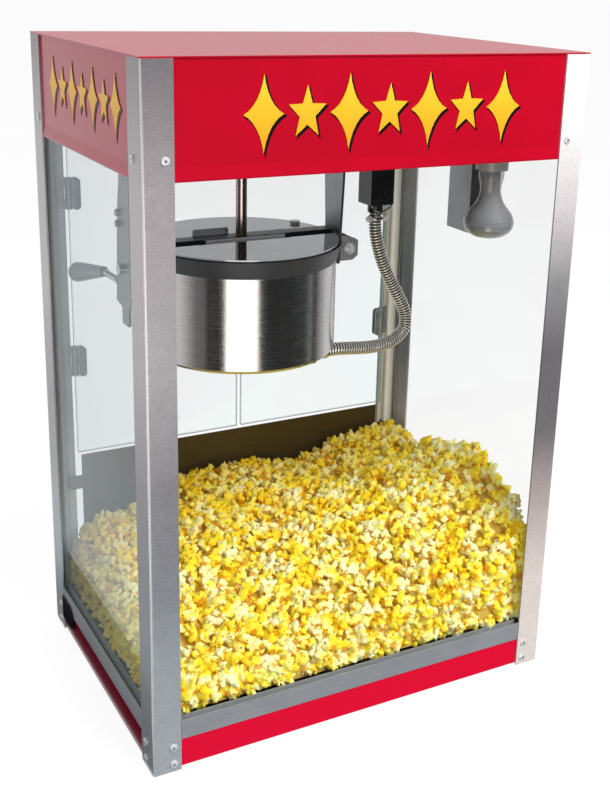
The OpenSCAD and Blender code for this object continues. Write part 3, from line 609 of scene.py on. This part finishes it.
def make_conduit():
    """Corrugated metal conduit: rounded ridges at an even pitch along the route."""
    coarse = smooth_path([[c / 1000 for c in p] for p in CONDUIT_ROUTE], 12)
    lengths = [0.0]
    for a, b in zip(coarse, coarse[1:]):
        lengths.append(lengths[-1] + (b - a).length)
    total = lengths[-1]
    per_ridge, sides = 8, 28
    count = round(total / CONDUIT_PITCH) * per_ridge
    wanted = np.linspace(0, total, count + 1)
    table = np.array([tuple(p) for p in coarse])
    path = np.stack([np.interp(wanted, lengths, table[:, k]) for k in range(3)], 1)
    ahead = np.gradient(path, axis=0)
    ahead /= np.linalg.norm(ahead, axis=1)[:, None]
    across = np.cross(ahead, (0.0, 1.0, 0.0))
    across /= np.linalg.norm(across, axis=1)[:, None]
    up = np.cross(across, ahead)
    phase = 2 * math.pi * np.arange(count + 1) / per_ridge
    crest = 0.5 + 0.5 * np.cos(phase)
    radius = CONDUIT_R * (1 - GROOVE_DEPTH + GROOVE_DEPTH * crest ** 0.6)
    turn = np.linspace(0, 2 * math.pi, sides, endpoint=False)
    rings = path[:, None] + radius[:, None, None] * (
        np.cos(turn)[None, :, None] * across[:, None] + np.sin(turn)[None, :, None] * up[:, None])
    verts = rings.reshape(-1, 3)
    piece = add_mesh("conduit_corrugated", verts, tube_faces(count, sides), "conduit", None)
    # the crest as lift, from which the material paints highlights and shade
    lift = piece.data.attributes.new("lift", "FLOAT", "POINT")
    lift.data.foreach_set("value", np.repeat(crest, sides).astype(np.float32))
    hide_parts("kettle_conduit")
    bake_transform(piece)


make_conduit()


# ---------- painted recess shade on the screws, and the conduit's connector ---

SCREW_IN, SCREW_HEIGHTS = 0.023, (0.0105, 0.031, 0.657)


def recess_outline(turn):
    """Four-armed cross, turned by an angle."""
    wide, long = 0.0004, 0.0017
    cross = [(wide, wide), (wide, long), (-wide, long), (-wide, wide), (-long, wide), (-long, -wide),
             (-wide, -wide), (-wide, -long), (wide, -long), (wide, -wide), (long, -wide), (long, wide)]
    return [(u * math.cos(turn) - v * math.sin(turn), u * math.sin(turn) + v * math.cos(turn))
            for u, v in cross]


def make_recess_shades():
    """Painted shade of the cross recess on the dome of each corner screw: a dark plug set into the head.
    """
    verts, faces = [], []
    sunk, proud = 0.0012, 0.00206
    screws = [(sx, sy, z, way) for sx in (-1, 1) for sy in (-1, 1) for z in SCREW_HEIGHTS
              for way in ("front", "side")]
    for number, (sx, sy, z, way) in enumerate(screws, 1):
        outline = recess_outline(number * 0.7)
        base, n = len(verts), len(outline)
        for out in (sunk, proud):
            for a, b in outline:
                if way == "front":
                    verts.append((sx * (POST_X - SCREW_IN) + a, sy * (POST_Y + out), z + b))
                else:
                    verts.append((sx * (POST_X + out), sy * (POST_Y - SCREW_IN) + a, z + b))
        faces.append([base + i for i in range(n)])
        faces.append([base + n + i for i in reversed(range(n))])
        faces += [[base + i, base + n + i, base + n + (i + 1) % n, base + (i + 1) % n]
                  for i in range(n)]
    piece = add_mesh("screw_recess_shades", verts, faces, "rubber", "cabinet", smooth=False)
    shell = bmesh.new()
    shell.from_mesh(piece.data)
    bmesh.ops.recalc_face_normals(shell, faces=shell.faces[:])
    shell.to_mesh(piece.data)
    shell.free()


def tube_mesh(points, radius, sides=12, steps=6):
    """Closed round tube along a smooth path: (verts, faces)."""
    path = smooth_path(points, steps)
    verts = []
    for k, here in enumerate(path):
        ahead = (path[min(k + 1, len(path) - 1)] - path[max(k - 1, 0)]).normalized()
        side = ahead.cross(Vector((0.2, 1.0, 0.1))).normalized()
        up = side.cross(ahead)
        for s in range(sides):
            turn = 2 * math.pi * s / sides
            verts.append(here + radius * (math.cos(turn) * side + math.sin(turn) * up))
    return verts, tube_faces(len(path) - 1, sides)


def make_connector():
    """Two crossing wire bails from the box to the eared collar that grips the conduit's end."""
    low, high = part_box("power_box")
    middle = (low.x + high.x) / 2
    bail = [(0.0135, -0.0125, 0.5655), (0.0125, -0.0145, 0.5605), (0.005, -0.0136, 0.5555),
            (-0.006, -0.0128, 0.549), (-0.0095, -0.006, 0.5455)]
    ear = [(0.0075, -0.0065, 0.545), (0.0115, -0.0065, 0.5475), (0.0145, -0.0055, 0.5455),
           (0.0115, -0.0045, 0.5425), (0.0075, -0.0045, 0.5435)]
    for kind, route, radius, look in (("bail", bail, 0.0009, "chrome"), ("ear", ear, 0.0017, "screw")):
        for end, side in (("left", -1), ("right", 1)):
            verts, faces = tube_mesh([(middle + side * x, y, z) for x, y, z in route], radius)
            add_mesh(f"{kind}_{end}", verts, faces, look, "cabinet")
    reach = 0.0088
    ring = [(middle + reach * math.cos(t), reach * math.sin(t), 0.5445)
            for t in (k * math.pi / 8 for k in range(17))]
    verts, faces = tube_mesh(ring, 0.0014, steps=2)
    add_mesh("connector_collar", verts, faces, "chrome", "cabinet")


make_recess_shades()
make_connector()


# ---------- sign ornaments ----------

def star_outline(width, height):
    """Five-pointed star."""
    points = []
    for k in range(10):
        reach = 1.0 if k % 2 == 0 else 0.42
        angle = math.pi / 2 + k * math.pi / 5
        points.append((reach * math.cos(angle) * width / 2, reach * math.sin(angle) * height / 2))
    return points


def lozenge_outline(width, height, steps=6):
    """Four points joined by hollow curves."""
    tips = [(0, height / 2), (-width / 2, 0), (0, -height / 2), (width / 2, 0)]
    points = []
    for a, b in zip(tips, tips[1:] + tips[:1]):
        for k in range(steps):
            t = k / steps
            mid = (0.22 * (a[0] + b[0]), 0.22 * (a[1] + b[1]))
            points.append(tuple((1 - t) ** 2 * p + 2 * t * (1 - t) * m + t * t * q
                                for p, m, q in zip(a, mid, b)))
    return points


def make_ornaments(name, centre, along, outward, half_length, height):
    """Row of lozenges and stars on one sign face, each with a black drop shadow."""
    count = 7
    pitch = 2 * half_length / count
    for part, look, lift, drop in (("shadow", "shadow", 0.0002, 0.0022), ("face", "yellow", 0.0005, 0.0)):
        verts, faces = [], []
        for k in range(count):
            middle = (k - (count - 1) / 2) * pitch
            wide, tall = pitch * 0.92, height * (1.0 if k % 2 == 0 else 0.72)
            outline = lozenge_outline(wide, tall) if k % 2 == 0 else star_outline(wide, tall)
            grow = 1.06 if part == "shadow" else 1.0
            for level in (0.0, 0.0003):
                for u, v in outline:
                    verts.append(centre + along * (middle + u * grow + drop)
                                 + Vector((0, 0, v * grow - drop)) + outward * (lift + level))
            n = len(outline)
            base = len(verts) - 2 * n
            faces.append([base + n + i for i in range(n)])
            faces.append([base + i for i in reversed(range(n))])
            faces += [[base + i, base + (i + 1) % n, base + n + (i + 1) % n, base + n + i]
                      for i in range(n)]
        add_mesh(f"{name}_{part}", verts, faces, look, "cabinet", smooth=False)


FRONT_Y = -0.180
SIDE_X = 0.253
make_ornaments("ornaments_front", Vector((0.005, FRONT_Y, 0.696)), Vector((1, 0, 0)),
               Vector((0, -1, 0)), 0.161, 0.074)
make_ornaments("ornaments_left", Vector((-SIDE_X, -0.006, 0.699)), Vector((0, -1, 0)),
               Vector((-1, 0, 0)), 0.121, 0.062)
make_ornaments("ornaments_right", Vector((SIDE_X, 0.006, 0.699)), Vector((0, 1, 0)),
               Vector((1, 0, 0)), 0.121, 0.062)


# ---------- popcorn ----------

CORE, TIP = 0.36, 0.85


def kernel_shape(rng, level):
    """A popped flake: a ball pushed out into many small lobes, with creases and crinkled skin."""
    sharpness = 14
    ball = bpy.data.meshes.new("ball")
    grown = bmesh.new()
    bmesh.ops.create_icosphere(grown, subdivisions=level, radius=1.0)
    grown.to_mesh(ball)
    grown.free()
    verts = np.array([v.co[:] for v in ball.vertices])
    faces = np.array([p.vertices[:] for p in ball.polygons])
    bpy.data.meshes.remove(ball)
    lobes = []
    for _ in range(rng.randint(4, 6)):
        wing = Vector((rng.gauss(0, 1), rng.gauss(0, 1), rng.gauss(0, 0.8))).normalized()
        for _ in range(rng.randint(3, 5)):
            way = (wing + 0.55 * Vector((rng.gauss(0, 1), rng.gauss(0, 1), rng.gauss(0, 1)))).normalized()
            lobes.append((np.array(way) * rng.uniform(0.5, 0.8), rng.uniform(0.16, 0.3)))
    reach = np.full(len(verts), CORE)
    for centre, size in lobes:
        b = verts @ centre
        inside = size ** 2 - (centre @ centre - b * b)
        far = np.where(inside > 0, b + np.sqrt(np.maximum(inside, 0)), 0)
        reach = (reach ** sharpness + np.maximum(far, 0) ** sharpness) ** (1 / sharpness)
    seed = Vector((rng.uniform(0, 90), rng.uniform(0, 90), rng.uniform(0, 90)))
    crinkle = np.array([noise.noise(Vector(v) * 3.2 + seed) + 0.7 * noise.noise(Vector(v) * 7 + seed)
                        for v in verts])
    reach = reach * (1 + 0.3 * crinkle)
    # lift: how far each point stands out; the material paints crease colour and shade from it
    lift = np.clip((reach - CORE) / (TIP - CORE), 0, 1)
    shaped = verts * reach[:, None]
    shaped -= shaped.mean(0)
    shaped /= np.abs(shaped).max()
    return shaped, faces, lift


def heap_points(rng, spacing, tries):
    """Even random places on the heap's top and glass-side walls: (point, normal)."""
    mesh = nodes["popcorn_heap"].data
    mesh.calc_loop_triangles()
    corners, areas = [], []
    for tri in mesh.loop_triangles:
        a, b, c = (mesh.vertices[i].co.copy() for i in tri.vertices)
        normal = (b - a).cross(c - a)
        if normal.normalized().z > -0.5:
            corners.append((a, b, c, normal.normalized()))
            areas.append(normal.length / 2)
    cells, kept = {}, []
    for a, b, c, normal in rng.choices(corners, weights=areas, k=tries):
        u, v = rng.random(), rng.random()
        if u + v > 1:
            u, v = 1 - u, 1 - v
        point = a + (b - a) * u + (c - a) * v
        key = tuple(int(math.floor(x / spacing)) for x in point)
        near = [q for dx in (-1, 0, 1) for dy in (-1, 0, 1) for dz in (-1, 0, 1)
                for q in cells.get((key[0] + dx, key[1] + dy, key[2] + dz), ())]
        if all((point - q).length > spacing for q in near):
            cells.setdefault(key, []).append(point)
            kept.append((point, normal))
    return kept


SHAPE_COUNT, SHAPE_LEVEL = 14, 3
TOP_SPACING, TOP_DEPTH = 0.0118, 0.3
UNDER_SPACING, UNDER_DEPTH = 0.0185, 1.1
CHUNK_FACES = 150_000


def make_popcorn():
    """Loose flakes over the heap's surface and a thinner layer under them, joined in chunks."""
    rng = random.Random(7)
    shapes = [kernel_shape(rng, SHAPE_LEVEL) for _ in range(SHAPE_COUNT)]
    low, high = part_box("popcorn_heap")
    glass_low, glass_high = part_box("glass_left")[1].x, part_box("glass_right")[0].x
    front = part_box("glass_front")[1].y
    places = [(point, normal, TOP_DEPTH) for point, normal in heap_points(rng, TOP_SPACING, 20000)]
    places += [(point, normal, UNDER_DEPTH) for point, normal in heap_points(rng, UNDER_SPACING, 9000)]
    chunks, used = [[]], 0
    for point, normal, depth in places:
        size = rng.uniform(0.0115, 0.016)
        centre = point - normal * size * depth
        room = size * 0.96
        centre.x = min(max(centre.x, glass_low + room), glass_high - room)
        centre.y = min(max(centre.y, front + room), high.y + 0.001 - room)
        centre.z = max(centre.z, low.z + room * 0.8)
        verts, faces, lift = rng.choice(shapes)
        turn = Matrix.Rotation(rng.uniform(0, 6.28), 3, Vector((
            rng.gauss(0, 1), rng.gauss(0, 1), rng.gauss(0, 1))).normalized())
        squeeze = np.array([rng.uniform(0.82, 1.0), rng.uniform(0.82, 1.0), rng.uniform(0.82, 1.0)])
        placed = (verts * squeeze) @ np.array(turn).T * size + np.array(centre)
        butter = rng.choice((-0.1, -0.05, -0.02, 0.02, 0.05, 0.09, 0.14))
        chunks[-1].append((placed, faces, lift, butter))
        used += len(faces)
        if used > CHUNK_FACES:
            chunks.append([])
            used = 0
    for number, chunk in enumerate(filter(None, chunks), 1):
        join_kernels(f"popcorn_{number:02d}", chunk)


def join_kernels(name, kernels):
    """One mesh from many flakes, with each flake's butter and each vertex's lift as attributes."""
    counts = [len(k[0]) for k in kernels]
    starts = np.concatenate([[0], np.cumsum(counts)[:-1]])
    verts = np.concatenate([k[0] for k in kernels])
    faces = np.concatenate([k[1] + s for k, s in zip(kernels, starts)])
    mesh = bpy.data.meshes.new(name)
    mesh.vertices.add(len(verts))
    mesh.vertices.foreach_set("co", verts.astype(np.float32).ravel())
    mesh.loops.add(faces.size)
    mesh.loops.foreach_set("vertex_index", faces.astype(np.int32).ravel())
    mesh.polygons.add(len(faces))
    mesh.polygons.foreach_set("loop_start", np.arange(0, faces.size, 3, dtype=np.int32))
    mesh.update(calc_edges=True)
    mesh.shade_smooth()
    lift = mesh.attributes.new("lift", "FLOAT", "POINT")
    lift.data.foreach_set("value", np.concatenate([k[2] for k in kernels]).astype(np.float32))
    butter = mesh.attributes.new("butter", "FLOAT", "POINT")
    butter.data.foreach_set("value", np.repeat([k[3] for k in kernels], counts).astype(np.float32))
    mesh.materials.append(looks["corn"])
    piece = bpy.data.objects.new(name, mesh)
    scene.collection.objects.link(piece)
    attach(piece, "cabinet")
    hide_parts("popcorn_heap")


def make_core():
    """Crumbly bed just under the loose flakes, so that no gap shows the bare deck."""
    mesh = nodes["popcorn_heap"].data.copy()
    mesh.name = "popcorn_core"
    middle = Vector((0, 0, 0.055))
    shrink_x, shrink_y, sink, least = 0.965, 0.945, 0.011, 0.002
    for vert in mesh.vertices:
        away = vert.co - middle
        vert.co = middle + Vector((away.x * shrink_x, away.y * shrink_y, max(away.z - sink, least)))
    mesh.materials.clear()
    mesh.materials.append(looks["crumb"])
    piece = bpy.data.objects.new("popcorn_core", mesh)
    scene.collection.objects.link(piece)
    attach(piece, "cabinet")
    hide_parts("popcorn_heap")


make_popcorn()
make_core()


# ---------- floor and light ----------

def make_stage():
    """White floor that glows, so that only the contact shadow shows."""
    mesh = bpy.data.meshes.new("floor")
    reach = 40
    mesh.from_pydata([(-reach, -reach, 0), (reach, -reach, 0), (reach, reach, 0), (-reach, reach, 0)],
                     [], [[0, 1, 2, 3]])
    look = Look("floor_white", srgb(110, 110, 110), roughness=0.9, Specular_IOR_Level=0.0)
    look.color(look.ramp(look.noise(3), [(0.3, srgb(106, 106, 106)), (0.7, srgb(114, 114, 114))]))
    look.shader.inputs["Emission Color"].default_value = (1, 1, 1, 1)
    look.shader.inputs["Emission Strength"].default_value = 0.9
    mesh.materials.append(look.material)
    floor = bpy.data.objects.new("floor", mesh)
    floor.visible_glossy = False
    floor.visible_diffuse = False
    scene.collection.objects.link(floor)


AMBIENT = 0.42


def make_world():
    """White backdrop; the room at the front is dark to reflections and all of it dim to diffuse light."""
    world = bpy.data.worlds.new("studio")
    scene.world = world
    world.use_nodes = True
    tree = world.node_tree
    make, link = tree.nodes.new, tree.links.new
    back = tree.nodes["Background"]
    back.inputs["Color"].default_value = (1, 1, 1, 1)
    split = make("ShaderNodeSeparateXYZ")
    link(make("ShaderNodeTexCoord").outputs["Generated"], split.inputs[0])

    def ranged(axis, low, high, out_low, out_high):
        made = make("ShaderNodeMapRange")
        values = {"From Min": low, "From Max": high, "To Min": out_low, "To Max": out_high}
        for limit, value in values.items():
            made.inputs[limit].default_value = value
        link(split.outputs[axis], made.inputs["Value"])
        return made

    sky = ranged("Z", -0.1, 0.15, 1.0, 0.55)
    room = ranged("Y", -0.25, 0.2, 0.035, 1.0)
    link(sky.outputs["Result"], room.inputs["To Max"])
    sight = make("ShaderNodeLightPath")
    soft = make("ShaderNodeMix")
    soft.inputs["B"].default_value = AMBIENT
    link(sight.outputs["Is Diffuse Ray"], soft.inputs["Factor"])
    link(room.outputs["Result"], soft.inputs["A"])
    seen = make("ShaderNodeMix")
    seen.inputs["B"].default_value = 1.0
    link(sight.outputs["Is Camera Ray"], seen.inputs["Factor"])
    link(soft.outputs["Result"], seen.inputs["A"])
    link(seen.outputs["Result"], back.inputs["Strength"])


def make_card(name, centre, size, facing, glow=0.0):
    """Card that only reflections see: dark, or lit like a softbox."""
    mesh = bpy.data.meshes.new(name)
    w, h = size[0] / 2, size[1] / 2
    mesh.from_pydata([(-w, -h, 0), (w, -h, 0), (w, h, 0), (-w, h, 0)], [], [[0, 1, 2, 3]])
    look = Look(name, srgb(10, 10, 12), roughness=1.0, Specular_IOR_Level=0.0)
    look.shader.inputs["Emission Color"].default_value = (1, 0.97, 0.93, 1)
    look.shader.inputs["Emission Strength"].default_value = glow
    mesh.materials.append(look.material)
    card = bpy.data.objects.new(name, mesh)
    card.location = centre
    card.rotation_euler = (Vector(facing) - Vector(centre)).to_track_quat("Z", "Y").to_euler()
    card.visible_camera = False
    card.visible_diffuse = False
    card.visible_shadow = False
    card.visible_transmission = False
    scene.collection.objects.link(card)


def make_light(name, place, target, size, power, color=(1, 1, 1)):
    data = bpy.data.lights.new(name, "AREA")
    data.shape = "RECTANGLE"
    data.size, data.size_y = size
    data.energy = power
    data.color = color
    lamp = bpy.data.objects.new(name, data)
    lamp.location = place
    lamp.rotation_euler = (Vector(target) - Vector(place)).to_track_quat("-Z", "Y").to_euler()
    lamp.visible_glossy = False
    scene.collection.objects.link(lamp)


make_stage()
make_world()
make_card("softbox", (-0.44, -0.86, 0.2), (0.62, 0.7), (KETTLE_X, 0, 0.4), 3.2)
make_card("glint_right", (0.85, -0.44, 0.2), (0.16, 0.6), (KETTLE_X, 0, 0.4), 0.25)
make_card("glint_left", (-1.02, -0.33, 0.2), (0.25, 0.6), (KETTLE_X, 0, 0.4), 0.22)
make_card("shade_left", (-0.283, 0.1, 0.003), (0.054, 0.8), (-0.283, 0.1, 1.0))
make_light("key", (0.8, -2.3, 2.1), (0, 0, 0.3), (1.4, 1.4), 92)
make_light("top", (0.2, 0.1, 2.6), (0, 0, 0.3), (1.4, 1.2), 8)
make_light("left", (-2.0, 0.3, 1.3), (0, 0, 0.4), (0.8, 1.2), 10)
